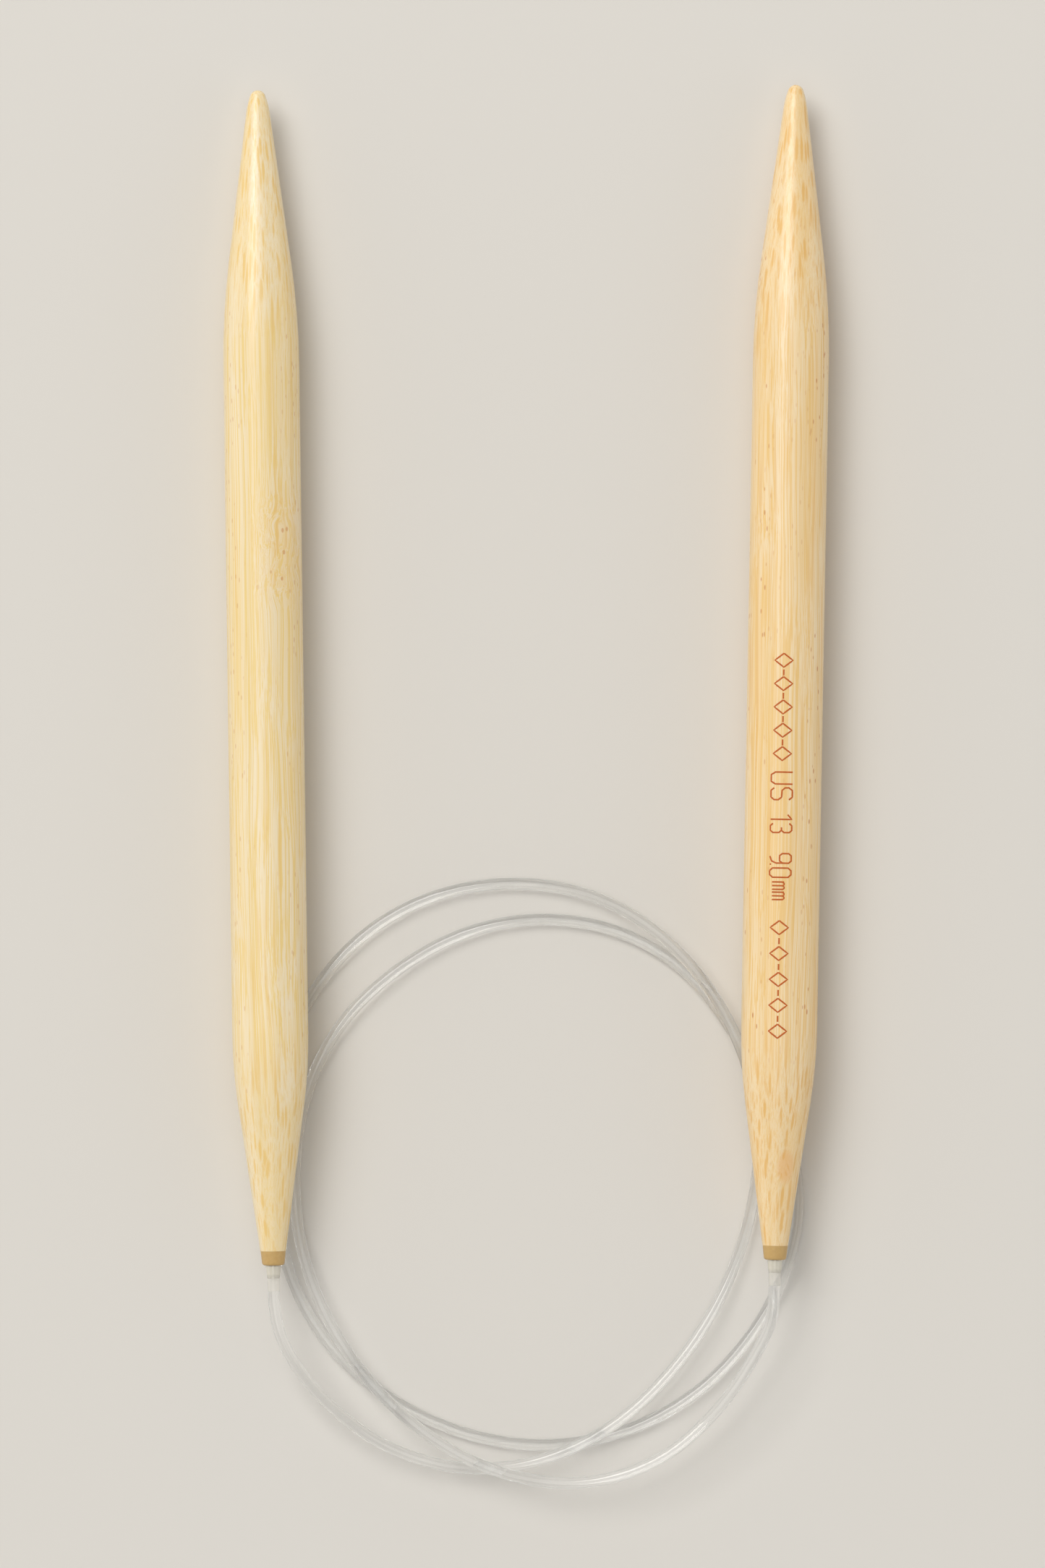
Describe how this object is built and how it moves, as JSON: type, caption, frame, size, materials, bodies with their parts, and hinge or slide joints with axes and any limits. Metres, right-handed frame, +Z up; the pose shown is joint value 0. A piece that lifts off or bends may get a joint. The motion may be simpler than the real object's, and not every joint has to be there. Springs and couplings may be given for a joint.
{
  "type": "circular knitting needle",
  "caption": "Circular knitting needle: round bamboo points with a taper at each end, joined by a thin clear flexible cord lying in loose turns.",
  "frame": {"origin": "on the table, at the middle of the box round the two points and what is pressed into them, at the height of the lowest point", "axes": "+Z up, +Y towards the points' noses and along them, +X from the left point to the right one"},
  "size_m": [0.0718, 0.1665, 0.0104],
  "materials": {
    "bamboo": "satin, fine long fibres",
    "collar_plastic": "satin",
    "clear_cord": "clear, slightly milky",
    "milky_sleeve": "milky, satin",
    "anchor_metal": "bright drawn wire"
  },
  "bodies": {
    "cord_loops": {"cord": "clear_cord"},
    "left_cord_end": {"left_sleeve": "milky_sleeve"},
    "left_pin": {"left_anchor": "anchor_metal"},
    "left_needle": {"left_point": "bamboo", "left_collar": "collar_plastic"},
    "right_cord_end": {"right_sleeve": "milky_sleeve"},
    "right_pin": {"right_anchor": "anchor_metal"},
    "right_needle": {"right_point": "bamboo", "right_collar": "collar_plastic"}
  },
  "joints": [
    {"name": "left_swing", "type": "hinge", "parent": "cord_loops", "child": "left_cord_end", "pos_m": [-0.02986, -0.07221, 0.00641], "axis": [0, 0, 1], "range_deg": [0, 30], "deforming": ["left_sleeve"]},
    {"name": "left_lift", "type": "hinge", "parent": "left_cord_end", "child": "left_pin", "pos_m": [-0.02988, -0.07071, 0.00639], "axis": [0.9999, 0.014, 0], "range_deg": [0, 35], "deforming": ["left_sleeve"]},
    {"name": "left_twist", "type": "hinge", "parent": "left_pin", "child": "left_needle", "pos_m": [-0.02992, -0.06821, 0.00634], "axis": [-0.014, 0.9998, -0.0175], "range_deg": [-180, 180]},
    {"name": "right_swing", "type": "hinge", "parent": "cord_loops", "child": "right_cord_end", "pos_m": [0.02939, -0.07155, 0.00641], "axis": [0, 0, -1], "range_deg": [0, 30], "deforming": ["right_sleeve"]},
    {"name": "right_lift", "type": "hinge", "parent": "right_cord_end", "child": "right_pin", "pos_m": [0.02942, -0.07005, 0.00639], "axis": [0.9998, -0.0183, 0], "range_deg": [0, 35], "deforming": ["right_sleeve"]},
    {"name": "right_twist", "type": "hinge", "parent": "right_pin", "child": "right_needle", "pos_m": [0.02946, -0.06755, 0.00634], "axis": [0.0183, 0.9997, -0.0175], "range_deg": [-180, 180]}
  ]
}
